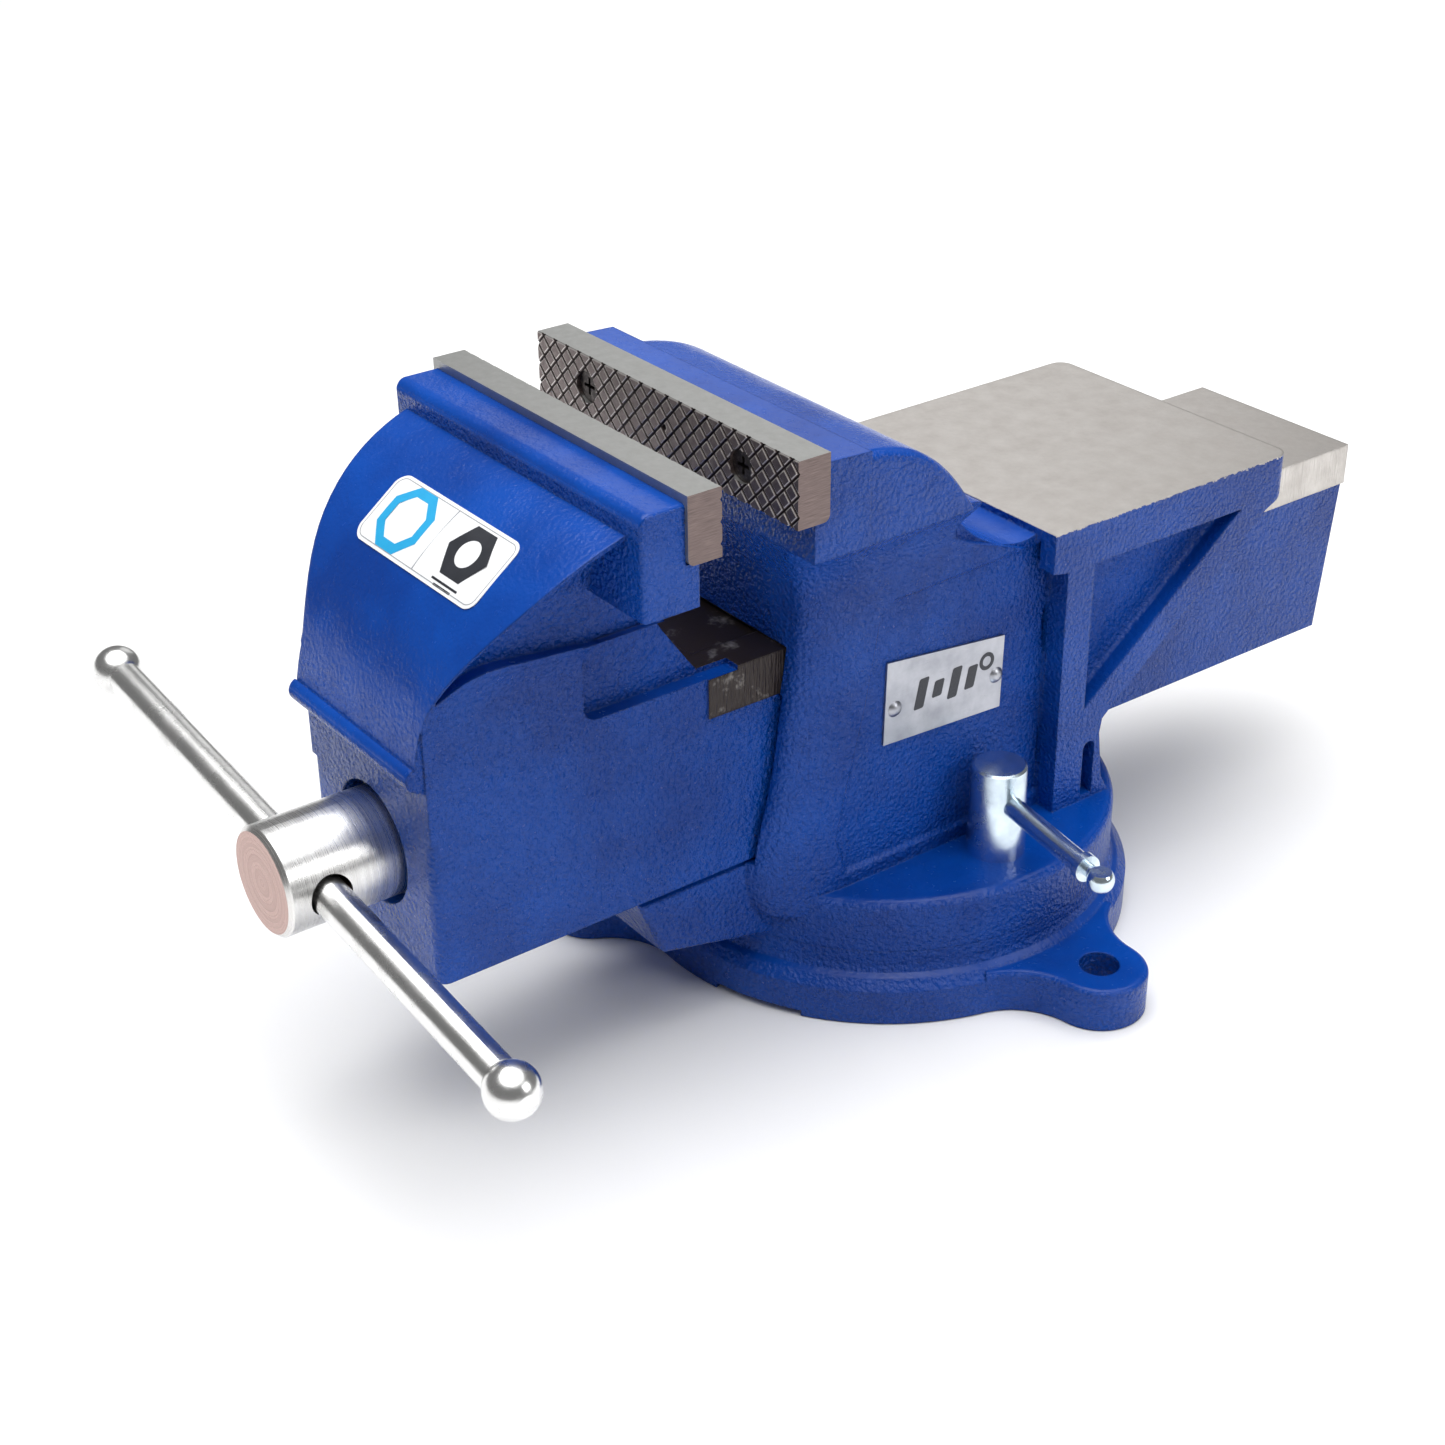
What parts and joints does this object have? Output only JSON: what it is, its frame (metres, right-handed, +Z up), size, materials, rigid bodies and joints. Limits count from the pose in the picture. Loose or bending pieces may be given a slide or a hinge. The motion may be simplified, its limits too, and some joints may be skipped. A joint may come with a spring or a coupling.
{
  "type": "bench vise",
  "caption": "Swivel-base bench vise with serrated jaws, curved front shield, box slide, screw with sliding bar handle, rear anvil and lugged base.",
  "frame": {"origin": "swivel axis at the underside of the base, which is the bolt circle's centre", "axes": "+Z up along the swivel axis, +Y towards the anvil and the rear of the slide, +X to the right seen from the spindle head"},
  "size_m": [0.2856, 0.4802, 0.2345],
  "materials": {
    "blue_enamel": "gloss",
    "hardened_steel": "satin",
    "dark_screw_steel": "satin",
    "grey_iron": "rough",
    "plate_aluminium": "brushed",
    "label_film": "gloss",
    "turned_steel": "satin",
    "bright_steel": "polished",
    "zinc_plated_steel": "bright"
  },
  "bodies": {
    "base": {"swivel_base": "blue_enamel"},
    "fixed_jaw": {"fixed_jaw": "blue_enamel", "fixed_jaw_plate": "hardened_steel", "fixed_jaw_screws": "dark_screw_steel", "lead_nut": "grey_iron", "lead_nut_bolt": "dark_screw_steel", "lock_bolts": "dark_screw_steel", "name_plate": "plate_aluminium", "name_plate_rivets": "plate_aluminium"},
    "moving_jaw": {"moving_jaw": "blue_enamel", "moving_jaw_plate": "hardened_steel", "moving_jaw_screws": "dark_screw_steel", "thrust_washer": "turned_steel", "shield_label": "label_film"},
    "spindle": {"spindle": "turned_steel", "spindle_spring": "turned_steel", "retaining_washer": "turned_steel", "split_pin": "dark_screw_steel"},
    "handle": {"handle_bar": "bright_steel", "handle_ball_left": "bright_steel", "handle_ball_right": "bright_steel"},
    "lock_right": {"lock_nut_right": "zinc_plated_steel", "lock_bar_right": "zinc_plated_steel", "lock_knob_right": "zinc_plated_steel"},
    "lock_left": {"lock_nut_left": "zinc_plated_steel", "lock_bar_left": "zinc_plated_steel", "lock_knob_left": "zinc_plated_steel"}
  },
  "joints": [
    {"name": "swivel", "type": "hinge", "parent": "base", "child": "fixed_jaw", "pos_m": [0, 0, 0.0275], "axis": [0, 0, 1], "continuous": true},
    {"name": "jaw_slide", "type": "slide", "parent": "fixed_jaw", "child": "moving_jaw", "axis": [0, -1, 0], "range_m": [-0.03, 0.132]},
    {"name": "spindle_turn", "type": "hinge", "parent": "moving_jaw", "child": "spindle", "pos_m": [0, -0.25, 0.1032], "axis": [0, -1, 0], "range_deg": [-1800, 7920]},
    {"name": "handle_slide", "type": "slide", "parent": "spindle", "child": "handle", "axis": [0.9944, 0, -0.1057], "range_m": [-0.097, 0.11]},
    {"name": "lock_right_turn", "type": "hinge", "parent": "fixed_jaw", "child": "lock_right", "pos_m": [0.068, 0, 0.06], "axis": [0, 0, 1], "range_deg": [-75, 92]},
    {"name": "lock_left_turn", "type": "hinge", "parent": "fixed_jaw", "child": "lock_left", "pos_m": [-0.068, 0, 0.06], "axis": [0, 0, 1], "range_deg": [-92, 75]}
  ],
  "couplings": [
    {"joint": "jaw_slide", "follows": "spindle_turn", "m_per_rad": 0.00095493}
  ]
}
